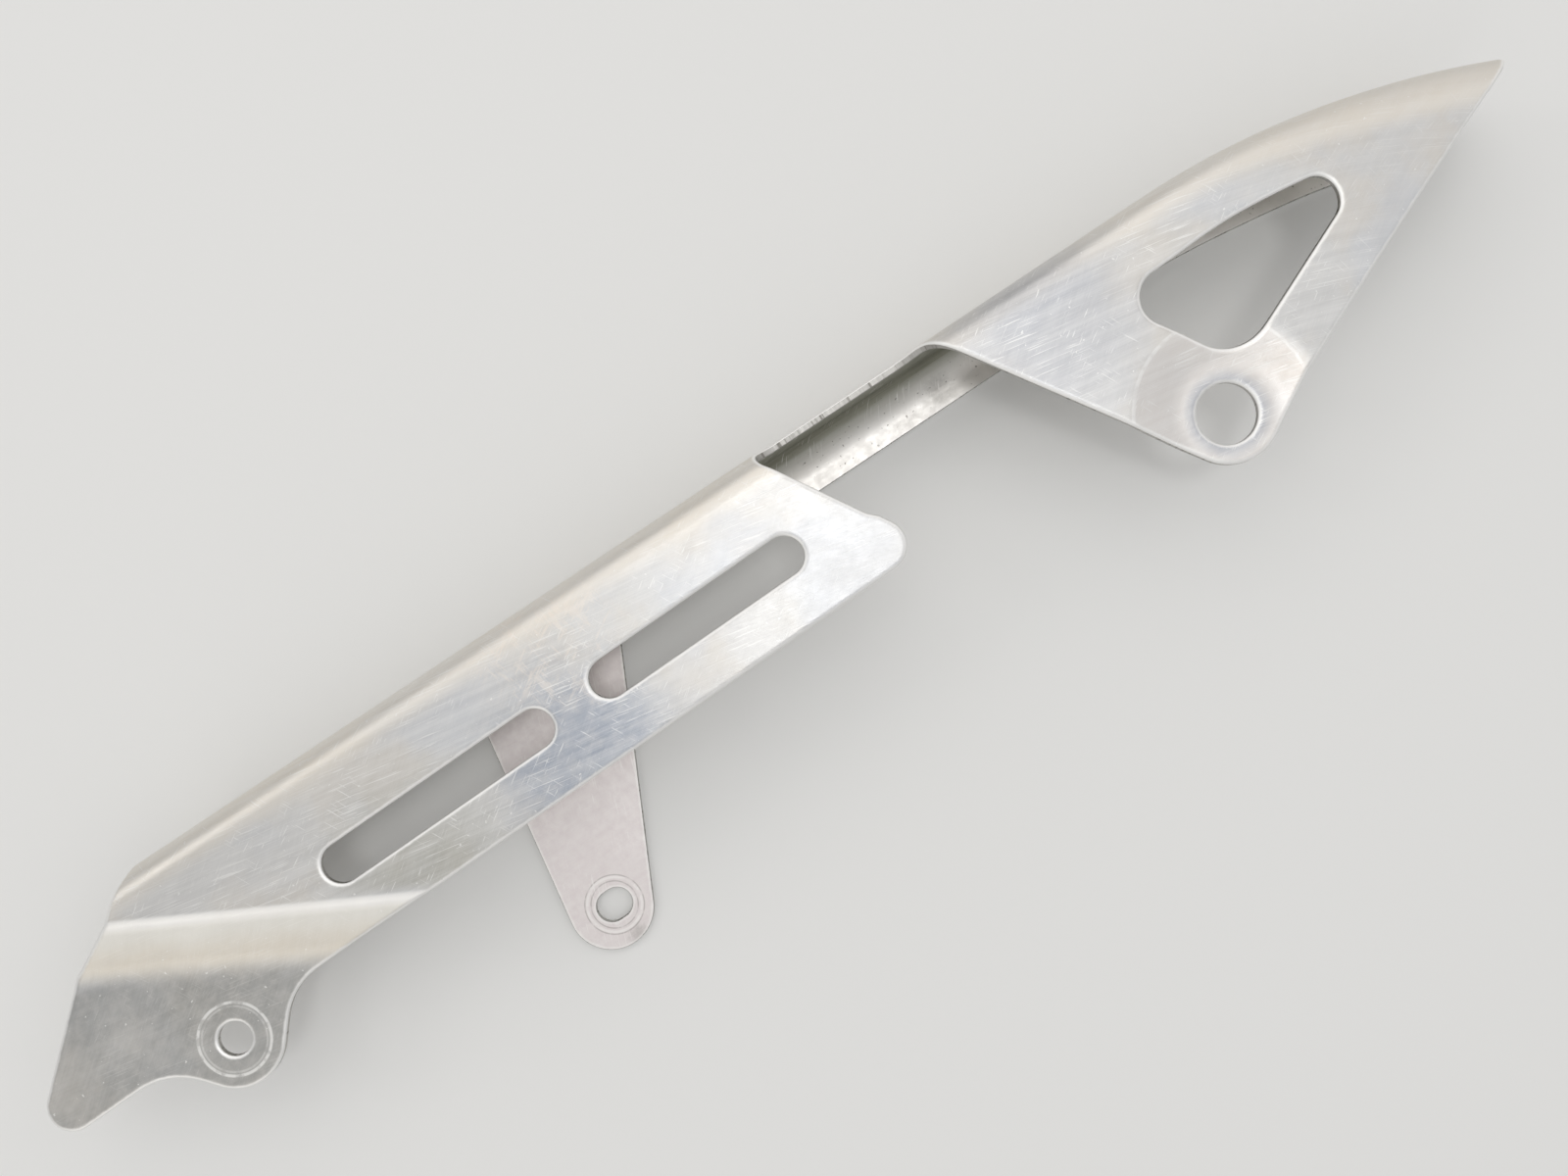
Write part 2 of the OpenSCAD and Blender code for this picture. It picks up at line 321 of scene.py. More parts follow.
def lipAt(u):
    s, r = sheetSizes, bendAt(u)
    wider = s["lipProud"] * np.exp(-(((np.asarray(u, float) - s["lipWidest"]) / s["lipSpread"]) ** 2))
    overBends = s["topEdge"] - r + (r + s["lowerBend"]) * (np.pi / 2 - 1)
    return overBends + s["depth"] + s["flange"] - s["lowerBend"] + wider


def unit(rows):
    return rows / np.linalg.norm(rows, axis=1)[:, None]


# How far a place is past the step's upper bend.
def pastBrow(x, y):
    s, angle = sheetSizes, radians(sheetSizes["stepAngle"])
    return s["stepFromHole"] + s["stepRun"] - x * sin(angle) - y * cos(angle)


# Height and slope of a ramp that starts softly at zero.
def softKnee(x, soft):
    height = np.where(x > soft, x, np.where(x < -soft, 0, (x + soft) ** 2 / (4 * soft)))
    return height, np.clip((x + soft) / (2 * soft), 0, 1)


def pressedForms(x, y):
    s, angle = sheetSizes, radians(sheetSizes["stepAngle"])
    d = pastBrow(x, y)
    brow, browSlope = softKnee(d, s["stepBrowSoft"])
    foot, footSlope = softKnee(d - s["stepRun"], s["stepFootSoft"])
    lift = -s["stepDrop"] * (brow - foot) / s["stepRun"]
    slope = s["stepDrop"] * (browSlope - footSlope) / s["stepRun"]
    slopeX, slopeY = slope * sin(angle), slope * cos(angle)
    dx, dy = x - outlineSizes["rearHole"][0], y - outlineSizes["rearHole"][1]
    far = np.maximum(np.hypot(dx, dy), 1e-6)
    land, landSlope = softKnee(far - s["dishLand"], s["dishLandSoft"])
    rim, rimSlope = softKnee(far - s["dishRim"], s["dishRimSoft"])
    rise = s["dishDrop"] / (s["dishRim"] - s["dishLand"])
    lift = lift - s["dishDrop"] + rise * (land - rim)
    slope = rise * (landSlope - rimSlope)
    return lift, slopeX + slope * dx / far, slopeY + slope * dy / far


def sectionOf(place):
    s = sheetSizes
    u, w = place[:, 0], place[:, 1]
    r, low = bendAt(u), s["lowerBend"]
    start, wall = s["topEdge"] - r, s["depth"] - r - low
    past = w - start
    topTurn = np.clip(past / r, 0, np.pi / 2)
    down = np.clip(past - r * np.pi / 2, 0, wall)
    lowTurn = np.clip((past - r * np.pi / 2 - wall) / low, 0, np.pi / 2)
    back = np.maximum(past - (r + low) * np.pi / 2 - wall, 0)
    y = np.minimum(w, start) + r * np.sin(topTurn) - low * (1 - np.cos(lowTurn)) - back
    z = s["faceHeight"] - r * (1 - np.cos(topTurn)) - down - low * np.sin(lowTurn)
    return y, z, topTurn + lowTurn, past


def stretchAt(place):
    s = sheetSizes
    y = sectionOf(place)[0]
    return np.where(place[:, 0] > s["curveStart"], 1 - (s["topEdge"] - y) / s["curveRadius"], 1.0)


def skin(place):
    s = sheetSizes
    y, z, turn, past = sectionOf(place)
    u = place[:, 0]
    phi = np.maximum(u - s["curveStart"], 0) / s["curveRadius"]
    rho = s["curveRadius"] - s["topEdge"] + y
    x = np.minimum(u, s["curveStart"]) + rho * np.sin(phi)
    y = s["topEdge"] - s["curveRadius"] + rho * np.cos(phi)
    lift, slopeX, slopeY = pressedForms(x, y)
    onFace = past < 0
    z = z + np.where(onFace, lift, 0)
    normal = np.stack([
        np.sin(turn) * np.sin(phi) - np.where(onFace, slopeX, 0),
        np.sin(turn) * np.cos(phi) - np.where(onFace, slopeY, 0),
        np.cos(turn),
    ], 1)
    return np.stack([x, y, z], 1), unit(normal)


def flattened(points):
    s = sheetSizes
    points = np.array(points, float)
    dx = points[:, 0] - s["curveStart"]
    dy = points[:, 1] - s["topEdge"] + s["curveRadius"]
    u = np.where(dx > 0, s["curveStart"] + s["curveRadius"] * np.arctan2(dx, dy), points[:, 0])
    w = np.where(dx > 0, np.hypot(dx, dy) - s["curveRadius"] + s["topEdge"], points[:, 1])
    return np.stack([u, w], 1)


def spacingAt(place):
    s, m = sheetSizes, meshSizes
    u, w = place
    past = w - s["topEdge"] + bendAt(u)
    if past > m["bendReach"][0]:
        return m["bendSpacing"] if past < m["bendReach"][1] else m["wallSpacing"]
    nearStep = m["stepReach"][0] < pastBrow(u, w) < s["stepRun"] + m["stepReach"][1]
    return m["stepSpacing"] if nearStep else m["faceSpacing"]


def refined(path, closed=True):
    ends = np.roll(path, -1, 0) if closed else path[1:]
    points = []
    for a, b in zip(path, ends):
        count = max(1, ceil(np.linalg.norm(b - a) / spacingAt((a + b) / 2)))
        points += [a + (b - a) * i / count for i in range(count)]
    if not closed:
        points.append(path[-1])
    return np.array(points)


def circle(centre, radius, count=None):
    count = count or max(24, int(radius * 8))
    turns = np.arange(count) * 2 * np.pi / count
    return np.array(centre) + radius * np.stack([np.cos(turns), np.sin(turns)], 1)


def obround(centre, run, width, angle):
    d, r = along(angle), width / 2
    points = []
    for end, turn in ((centre + d * run / 2, -90), (centre - d * run / 2, 90)):
        points += [end + r * along(angle + turn + 180 * i / 16) for i in range(17)]
    return np.array(points)


def rearLines():
    s, o = sheetSizes, outlineSizes
    arcCentre = np.array([s["curveStart"], s["topEdge"] - s["curveRadius"]])
    notchRear = shifted(lineAt(o["rearHole"], 180 - o["rearLean"]), o["notchRim"])
    ahead = o["tipX"] - arcCentre[0]
    tip = np.array([o["tipX"], arcCentre[1] + sqrt(s["curveRadius"] ** 2 - ahead ** 2)])
    rearEdge = lineAt(tip, 180 + o["rearAngle"])
    heel = tip + o["rearEdge"] * rearEdge[1]
    return arcCentre, notchRear, tip, rearEdge, heel


# From the lip under the window round the tab, the front end and the nose into the notch.
def frontRun(lip, split):
    s, o = sheetSizes, outlineSizes
    notchRear = rearLines()[1]
    lower = lineAt((0, o["lowerEdge"]), o["lowerRise"])
    stepFoot = lineAt(s["stepFromHole"] * along(90 - s["stepAngle"]), -s["stepAngle"])
    stepBrow = shifted(stepFoot, s["stepRun"])
    browEdge = lineAt((o["browX"], s["topEdge"]), 180 + o["browAngle"])
    stepEdge = lineAt(meet(browEdge, stepBrow), 180 + o["stepEdgeAngle"])
    toeEdge = lineAt(meet(stepEdge, stepFoot), 180 + o["toeAngle"])
    apex = np.array([0, -o["lobeRadius"] / cos(radians(o["lobeFlank"]))])
    notchFront = lineAt((o["notchX"], s["topEdge"]), -o["notchLean"])
    noseEdge = shifted(notchFront, o["noseProud"])
    ledge = lineAt((0, o["noseLedge"]), 0)
    start = s["topEdge"] - s["upperBend"]
    wallTop = start + s["upperBend"] * pi / 2
    notchTop = lineAt((0, wallTop + s["faceHeight"] - s["upperBend"] - o["notchFloor"]), 0)
    tabCentre = np.array([o["tabEnd"][0], lip + s["topEdge"] - s["flange"] - o["tabEnd"][1]])
    tabRear = tangentLine(np.array([o["tabX"] + o["tabWidth"], lip]), tabCentre, o["tabRadius"], -1)
    tabFront = tangentLine(np.array([o["tabX"], lip]), tabCentre, o["tabRadius"], 1)
    bendStart = meet(browEdge, lineAt((0, start), 0))
    frontLine = lineAt((s["frontEnd"], 0), 90)
    return roundedPath([
        ((o["lipStart"], lip), 0),
        ((o["tabX"] + o["tabWidth"], lip), o["tabRoot"]),
        (meet(tabRear, tabFront), o["tabRadius"]),
        ((o["tabX"], lip), o["tabRoot"]),
        ((s["frontEnd"], lip), o["lipRound"]),
        (meet(lineAt(bendStart, o["browAngle"]), frontLine), o["frontRound"]),
        (meet(browEdge, stepBrow), s["stepRun"] / 2),
        (meet(stepEdge, stepFoot), s["stepRun"] / 2),
        (meet(toeEdge, lower), o["toeRadius"]),
        (meet(lower, lineAt(apex, 180 - o["lobeFlank"])), o["lobeBlend"]),
        (apex, o["lobeRadius"]),
        (meet(lineAt(apex, o["lobeFlank"]), lower), o["lobeBlend"]),
        (meet(lower, noseEdge), o["noseRadius"]),
        (meet(noseEdge, ledge), o["ledgeRound"]),
        (meet(notchFront, shifted(ledge, 3 * o["noseProud"])), o["ledgeRound"]),
        (meet(notchFront, notchTop), o["notchFrontRound"]),
        (meet(notchTop, notchRear), o["notchRearRound"]),
        (split, 0),
    ], closed=False)


# From the notch round the rear lobe and along the bowed rear edge to the top bend.
def rearRun(split):
    s, o = sheetSizes, outlineSizes
    _, notchRear, tip, rearEdge, heel = rearLines()
    heelEdge = tangentLine(heel, np.array(o["rearHole"]), o["rearLobe"], 1)
    lobe, heelCorner = (meet(notchRear, heelEdge), o["rearLobe"]), (heel, o["rearLobe"])
    rear = roundedPath([(split, 0), lobe, heelCorner, (tip, 0)], closed=False)
    rear = refined(rear, closed=False)[1:]
    ahead = -rearEdge[1]
    run = (rear - heel) @ ahead
    share = np.clip(run / (o["rearEdge"] - o["bowEnd"]), 0, 1)
    bow = np.where(run > 0, o["rearBow"] * 4 * share * (1 - share), 0)
    flatRear = flattened(rear + bow[:, None] * leftOf(ahead))
    return flatRear[flatRear[:, 1] < s["topEdge"] - bendAt(flatRear[:, 0]) - o["cutGap"]]


# The rear edge's plane goes on through the top bend and the wall to the lip.
def cutOver(u):
    s, o = sheetSizes, outlineSizes
    arcCentre, _, tip, rearEdge, _ = rearLines()
    ahead = -rearEdge[1]
    over = []
    for w in np.arange(float(s["topEdge"] - bendAt(u)), float(lipAt(o["lipEnd"])) + 0.01, 0.5):
        for _ in range(12):
            y = sectionOf(np.array([[u, w]]))[0][0]
            rho = s["curveRadius"] - s["topEdge"] + y
            a, b = rho * ahead[1], -rho * ahead[0]
            c = -((arcCentre[0] - tip[0]) * ahead[1] - (arcCentre[1] - tip[1]) * ahead[0])
            phi = atan2(a, b) - acos(max(-1, min(1, c / hypot(a, b))))
            u = s["curveStart"] + s["curveRadius"] * phi
        over.append((u, w))
    return np.array(over)


def outerLoop():
    o = outlineSizes
    split = meet(rearLines()[1], lineAt((0, o["notchSplit"]), 0))
    front = refined(frontRun(float(lipAt(0)), split), closed=False)[:-1]
    rear = rearRun(split)
    over = cutOver(rear[-1, 0])
    end = (over[-1] + (over[-1] - over[-2]))[0]
    before = end - 5
    lipCorner, lipBefore = np.array([end, lipAt(end)]), np.array([before, lipAt(before)])
    corner = roundedCorner(over[-6], lipCorner, lipBefore, o["lipRound"])
    over = over[over[:, 1] < corner[0][1] - 0.25]
    lipRun = np.arange(corner[-1][0] - meshSizes["wallSpacing"], o["lipStart"], -meshSizes["faceSpacing"])
    lipRun = np.stack([lipRun, lipAt(lipRun)], 1)
    return np.concatenate([front, rear, over, np.array(corner), lipRun])


# The window's long side comes nearer to the top edge past the straight part.
def nearerRim(loop):
    u, w = loop[:, 0], loop[:, 1]
    (lowest, highest), (first, last) = openingSizes["liftAcross"], openingSizes["liftAlong"]
    share = np.clip((w - lowest) / (highest - lowest), 0, 1) * np.clip((u - first) / (last - first), 0, 1)
    return np.stack([u, w + openingSizes["windowLift"] * share * share * (3 - 2 * share)], 1)


def windowPath():
    s, q = sheetSizes, openingSizes
    arcCentre, notchRear, _, rearEdge, _ = rearLines()
    rimRadius = s["curveRadius"] - q["windowRim"]
    rimLine = shifted(lineAt((0, s["topEdge"]), 0), -q["windowRim"])
    frontSide = shifted(notchRear, -q["windowFront"])
    rearSide = shifted(rearEdge, -q["windowRear"])
    inner = shifted(rearSide, -q["windowRearRound"])
    back = inner[0] - arcCentre
    b = back @ inner[1]
    reach = rimRadius - q["windowRearRound"]
    cornerCentre = inner[0] - (b + sqrt(b * b - back @ back + reach * reach)) * inner[1]
    rimTurn = headingOf(cornerCentre - arcCentre)
    rimFar = lineAt(arcCentre + rimRadius * along(rimTurn), rimTurn - 90)
    return roundedPath([
        (meet(frontSide, rimLine), q["windowFrontRound"]),
        (meet(frontSide, rearSide), q["windowLowRound"]),
        (meet(rearSide, rimFar), q["windowRearRound"]),
        (meet(rimFar, rimLine), rimRadius),
    ])


def tabHoleAt():
    s, tabEnd = sheetSizes, outlineSizes["tabEnd"]
    return tabEnd[0] + openingSizes["tabHoleShift"], float(lipAt(0)) + s["topEdge"] - s["flange"] - tabEnd[1]


def openingLoops():
    o, q = outlineSizes, openingSizes
    slotY = o["lowerEdge"] + (q["slotStrip"] + q["slotWidth"] / 2) / cos(radians(o["lowerRise"]))
    d = along(o["lowerRise"])
    origin = np.array([0, slotY])
    firstSlot = origin + d * (q["slotX"] + q["frontSlot"] / 2)
    secondSlot = origin + d * (q["slotX"] + q["frontSlot"] + q["slotGap"] + q["rearSlot"] / 2)
    tabHole = np.array(tabHoleAt())
    loops = [
        refined(obround(firstSlot, q["frontSlot"], q["slotWidth"], o["lowerRise"])),
        refined(obround(secondSlot, q["rearSlot"], q["slotWidth"], o["lowerRise"])),
        circle((0, 0), q["frontHole"] / 2),
        circle(o["rearHole"], q["rearHole"] / 2),
        nearerRim(flattened(refined(windowPath()))),
        obround(tabHole, q["tabHoleLength"] - q["tabHoleWidth"], q["tabHoleWidth"], 0),
    ]
    # An opening runs clockwise, so that the metal is on its left too.
    turned = []
    for loop in loops:
        nextOnes = np.roll(loop, -1, 0)
        area = np.sum(loop[:, 0] * nextOnes[:, 1] - nextOnes[:, 0] * loop[:, 1])
        turned.append(loop[::-1] if area > 0 else loop)
    return turned


def tidied(loop, least=0.22):
    kept = [loop[0]]
    for point in loop[1:]:
        if np.linalg.norm(point - kept[-1]) > least:
            kept.append(point)
    if np.linalg.norm(kept[-1] - kept[0]) < least:
        kept.pop()
    return np.array(kept)


def inwardOf(loop):
    k = stretchAt(loop)
    heading = np.roll(loop, -1, 0) - np.roll(loop, 1, 0)
    heading[:, 0] *= k
    heading = unit(heading)
    return np.stack([-heading[:, 1] / k, heading[:, 0]], 1)


def insideOf(points, loops):
    inside = np.zeros(len(points), bool)
    for loop in loops:
        a, b = loop, np.roll(loop, -1, 0)
        for start in range(0, len(points), chunk):
            p = points[start:start + chunk]
            crossing = (a[None, :, 1] > p[:, None, 1]) != (b[None, :, 1] > p[:, None, 1])
            rise = np.where(np.abs(b[:, 1] - a[:, 1]) < 1e-9, 1e-9, b[:, 1] - a[:, 1])
            at = a[None, :, 0] + (p[:, None, 1] - a[None, :, 1]) * ((b[:, 0] - a[:, 0]) / rise)[None, :]
            hits = np.sum(crossing & (at > p[:, None, 0]), 1)
            inside[start:start + len(p)] ^= (hits % 2).astype(bool)
    return inside


def distanceTo(points, loops):
    ends = np.concatenate(loops)
    best = np.full(len(points), 1e9)
    for start in range(0, len(points), chunk):
        gap = points[start:start + chunk, None, :] - ends[None, :, :]
        best[start:start + len(gap)] = np.sqrt(np.min(np.sum(gap * gap, 2), 1))
    return best


def innerPoints(loops):
    s, m = sheetSizes, meshSizes
    low, grid = s["lowerBend"], m["grid"]
    turns = [radians(t) for t in range(m["bendTurn"], 91, m["bendTurn"])]
    places = []
    for u in np.arange(*m["runs"], grid):
        r = float(bendAt(u))
        start, wall = s["topEdge"] - r, s["depth"] - r - low
        wallTop = start + r * pi / 2
        rows = list(start - m["faceRows"][0] - np.arange(0, m["faceRows"][1], grid)) + [start]
        rows += [start + r * t for t in turns]
        rows += [wallTop + wall * (i + 1) / m["wallRows"] for i in range(m["wallRows"])]
        rows += [wallTop + wall + low * t for t in turns]
        rows += list(start + (r + low) * pi / 2 + wall + np.arange(*m["flangeRows"], grid))
        places += [(u, w) for w in rows]
    places = np.array(places)
    angle, run = radians(s["stepAngle"]), s["stepRun"]
    downhill = np.array([-sin(angle), -cos(angle)])
    sideways = np.array([cos(angle), -sin(angle)])
    d = pastBrow(places[:, 0], places[:, 1])
    onFace = places[:, 1] < s["topEdge"] - s["upperBend"]
    nearStep = onFace & (d > m["stepClear"][0]) & (d < run + m["stepClear"][1])
    rearHole = outlineSizes["rearHole"]
    hole = flattened([rearHole])[0]
    nearDish = np.hypot(places[:, 0] - hole[0], places[:, 1] - hole[1]) < s["dishRim"] + m["dishClear"]
    places = places[~nearStep & ~nearDish]
    brow, foot, (before, after) = s["stepBrowSoft"], s["stepFootSoft"], m["stepMargins"]
    rows = [-brow - before, -brow, -brow / 2, 0, brow / 2, brow, brow + after, *m["slopeRows"]]
    rows += [run + foot * t for t in m["footRows"]] + [run + foot + after]
    stepPoints = [
        -downhill * (s["stepFromHole"] + run - d) + sideways * t
        for d in rows for t in np.arange(-m["stepHalf"], m["stepHalf"], m["stepPitch"])
    ]
    stepPoints = np.array([p for p in stepPoints if p[1] < s["topEdge"] - s["upperBend"] - 0.2])
    dishPoints = [circle(rearHole, r, int(r * 2 * pi / m["stepPitch"])) for r in m["dishRings"]]
    places = np.concatenate([places, stepPoints, flattened(np.concatenate(dishPoints))])
    places = places[insideOf(places, loops)]
    return places[distanceTo(places, loops) > s["rollWidth"] + m["edgeClear"]]


def trianglesOf(places, loops, firstIndex):
    edges, at = [], firstIndex
    for loop in loops:
        edges += [(at + i, at + (i + 1) % len(loop)) for i in range(len(loop))]
        at += len(loop)
    _, _, faces, origin, _, _ = delaunay_2d_cdt([Vector(p) for p in places], edges, [], 0, 1e-5)
    source = [o[0] if o else -1 for o in origin]
    whole = [f for f in faces if len(f) == 3 and all(source[i] >= 0 for i in f)]
    corners = np.array([[source[i] for i in f] for f in whole])
    a, b, c = places[corners[:, 0]], places[corners[:, 1]], places[corners[:, 2]]
    area = (b[:, 0] - a[:, 0]) * (c[:, 1] - a[:, 1]) - (c[:, 0] - a[:, 0]) * (b[:, 1] - a[:, 1])
    corners[area < 0] = corners[area < 0][:, ::-1]
    return corners[insideOf((a + b + c) / 3, loops)]


# Rings of points round the rolled edge and down the cut, from the outer skin to the inner one: places,
# points, normals, side (0 outer, 1 cut, 2 inner) and distance from the edge.
def edgeRings(loop, into):
    s, steps = sheetSizes, meshSizes["rollSteps"]
    thick, roll, drop, burr = s["thickness"], s["rollWidth"], s["rollDepth"], s["burrWidth"]
    atEdge, upEdge = skin(loop)
    outward = unit(atEdge - skin(loop + into * 0.3)[0])
    rings = []
    for i, t in enumerate(np.linspace(0, pi / 2, steps)):
        shrink = roll * (1 - sin(t))
        at, up = skin(loop + into * shrink)
        lean = unit(outward * sin(t) / roll + up * cos(t) / drop)
        at = at - up * drop * (1 - cos(t))
        rings.append((loop + into * shrink, at, lean, 0 if i < steps - 1 else 1, shrink))
    rings.append((loop, atEdge - upEdge * (thick - burr), outward, 1, 0))
    at, up = skin(loop + into * burr)
    rings.append((loop + into * burr, at - up * thick, -up, 2, burr))
    return rings


def buildSheet(name):
    loops = [tidied(loop) for loop in [outerLoop()] + openingLoops()]
    interior = innerPoints(loops)
    points, normals, places, side, gap, triangles = [], [], [], [], [], []

    def add(place, point, normal, which, distance):
        first = sum(len(p) for p in points)
        points.append(point)
        normals.append(normal)
        places.append(place)
        side.append(np.full(len(point), float(which)))
        gap.append(np.broadcast_to(distance, len(point)).astype(float))
        return first

    depthOf = distanceTo(interior, loops)
    at, up = skin(interior)
    outerFirst = add(interior, at, up, 0, depthOf)
    rings = [edgeRings(loop, inwardOf(loop)) for loop in loops]
    starts = [[add(*ring) for ring in level] for level in zip(*rings)]
    innerFirst = add(interior, at - up * sheetSizes["thickness"], -up, 2, depthOf)
    for level, first, order in ((0, outerFirst, 1), (-1, innerFirst, -1)):
        inset = [ring[level][0] for ring in rings]
        corners = trianglesOf(np.concatenate([interior] + inset), inset, len(interior))
        shift = starts[level][0] - len(interior)
        corners = np.where(corners < len(interior), corners + first, corners + shift)
        triangles.append(corners[:, ::order])
    faceList = [tuple(int(i) for i in t) for part in triangles for t in part]
    kinds = [0] * len(triangles[0]) + [2] * len(triangles[1])
    for level, (upper, lower) in enumerate(zip(starts, starts[1:])):
        for loop, a, b in zip(loops, upper, lower):
            n = len(loop)
            faceList += [(b + j, b + (j + 1) % n, a + (j + 1) % n, a + j) for j in range(n)]
            kinds += [0 if level < meshSizes["rollSteps"] - 1 else 1] * n
    mesh = bpy.data.meshes.new(name)
    mesh.from_pydata((np.concatenate(points) / 1000).tolist(), [], faceList)
    flat = mesh.attributes.new("sheetPlace", "FLOAT_VECTOR", "POINT")
    placeSide = np.column_stack([np.concatenate(places), np.concatenate(side)])
    flat.data.foreach_set("vector", placeSide.astype(np.float32).ravel())
    fromEdge = mesh.attributes.new("edgeDistance", "FLOAT", "POINT")
    fromEdge.data.foreach_set("value", np.concatenate(gap).astype(np.float32))
    mesh.polygons.foreach_set("material_index", np.array(kinds, np.int32))
    mesh.polygons.foreach_set("use_smooth", np.ones(len(faceList), bool))
    mesh.update()
    mesh.normals_split_custom_set_from_vertices(np.concatenate(normals).tolist())
    piece = bpy.data.objects.new(name, mesh)
    bpy.context.scene.collection.objects.link(piece)
    print("sheet:", len(mesh.vertices), "points,", len(faceList), "faces")
    return piece


sheet = buildSheet("pressedSheet")
current = {}  # the node tree that is being built, on which the helpers below work


def link(source, target):
    current["tree"].links.new(source, target)


def put(kind, inputs=None, **settings):
    made = current["tree"].nodes.new(kind)
    for key, value in settings.items():
        setattr(made, key, value)
    for key, value in (inputs or {}).items():
        if isinstance(value, bpy.types.NodeSocket):
            link(value, made.inputs[key])
        else:
            made.inputs[key].default_value = value
    return made


def calc(operation, a, b=0.0):
    return put("ShaderNodeMath", {0: a, 1: b}, operation=operation).outputs[0]


def times(a, b):
    return calc("MULTIPLY", a, b)


def plus(a, b):
    return calc("ADD", a, b)


def most(first, *others):
    for other in others:
        first = calc("MAXIMUM", first, other)
    return first


def vectorCalc(operation, a, b=(0, 0, 0)):
    return put("ShaderNodeVectorMath", {0: a, 1: b}, operation=operation).outputs[0]


def ramp(value, low, high, outLow=0.0, outHigh=1.0):
    inputs = {"Value": value, "From Min": low, "From Max": high, "To Min": outLow, "To Max": outHigh}
    return put("ShaderNodeMapRange", inputs, interpolation_type="SMOOTHSTEP").outputs["Result"]


def noise(place, scale, detail=2.0, rough=0.5):
    inputs = {"Vector": place, "Scale": scale, "Detail": detail, "Roughness": rough}
    return put("ShaderNodeTexNoise", inputs, noise_dimensions="2D").outputs[0]


def tint(amount, below, above):
    mix = put("ShaderNodeMix", data_type="RGBA")
    for index, value in ((0, amount), (6, below), (7, above)):
        if isinstance(value, bpy.types.NodeSocket):
            link(value, mix.inputs[index])
        else:
            mix.inputs[index].default_value = value if index == 0 else (*value, 1)
    return mix.outputs[2]


def newGroup(name, takes, gives):
    group = current["tree"] = bpy.data.node_groups.new(name, "ShaderNodeTree")
    for label, value in {"Place": (0.0, 0.0, 0.0), **takes}.items():
        kind = "NodeSocketVector" if isinstance(value, tuple) else "NodeSocketFloat"
        group.interface.new_socket(label, in_out="INPUT", socket_type=kind).default_value = value
    for label in gives:
        group.interface.new_socket(label, in_out="OUTPUT", socket_type="NodeSocketFloat")
    return group, put("NodeGroupInput").outputs, put("NodeGroupOutput").inputs


def stretched(given):
    inputs = {"Vector": given["Place"], "Angle": given["Turn"]}
    turned = put("ShaderNodeVectorRotate", inputs, rotation_type="Z_AXIS").outputs[0]
    parts = put("ShaderNodeSeparateXYZ", {0: turned}).outputs
    onward, across = calc("DIVIDE", parts[0], given["Length"]), calc("DIVIDE", parts[1], given["Pitch"])
    return put("ShaderNodeCombineXYZ", {0: onward, 1: across}).outputs[0]


# Fine lines of the brushing.
def makeGrainGroup(
    fineLines=(1.0, 4.0, 0.65), broadLines=(1.0, 3.0, 0.6), broadStretch=(0.35, 0.12, 0), fineShare=0.45,
    streakRange=(0.3, 0.7),
):
    takes = {"Turn": 0.0, "Length": 14.0, "Pitch": 0.2}
    group, given, out = newGroup("brushedGrain", takes, ("Height", "Streak"))
    lines = stretched(given)
    fine = noise(lines, *fineLines)
    broad = noise(vectorCalc("MULTIPLY", lines, broadStretch), *broadLines)
    link(fine, out["Height"])
    both = plus(times(fine, fineShare), times(broad, 1 - fineShare))
    link(ramp(both, *streakRange), out["Streak"])
    return group


# Straight scratches that come in patches.
def makeScratchGroup(
    scratchNoise=(1.0, 1.0), scratchLevel=0.78, scratchGain=0.2, scratchEdge=(0.0, 0.06),
    patchShift=(37.0, 11.0, 0), patchRange=(0.4, 0.58),
):
    takes = {"Turn": 0.0, "Length": 6.0, "Pitch": 0.35, "Amount": 0.3, "Patch": 18.0}
    group, given, out = newGroup("scratches", takes, ("Mask",))
    lines = stretched(given)
    level = calc("SUBTRACT", scratchLevel, times(given["Amount"], scratchGain))
    marks = ramp(calc("SUBTRACT", noise(lines, *scratchNoise), level), *scratchEdge)
    moved = vectorCalc("ADD", given["Place"], patchShift)
    spread = noise(moved, calc("DIVIDE", 1.0, given["Patch"]))
    link(times(marks, ramp(spread, *patchRange)), out["Mask"])
    return group


# Wear and painted sheen along the edges of the sheet, from each point's distance to the nearest edge.
def makeEdgeGroup(edgeNoise=(0.5, 4.0), edgeRange=(0.35, 1.0, 1.0, 0.0)):
    takes = {"Distance": 1.0, "Width": 1.0, "Ragged": 0.6}
    group, given, out = newGroup("edgeWearAndSheen", takes, ("Mask",))
    grainy = calc("SUBTRACT", noise(given["Place"], *edgeNoise), 0.5)
    uneven = plus(given["Distance"], times(grainy, given["Ragged"]))
    link(ramp(calc("DIVIDE", uneven, given["Width"]), *edgeRange), out["Mask"])
    return group
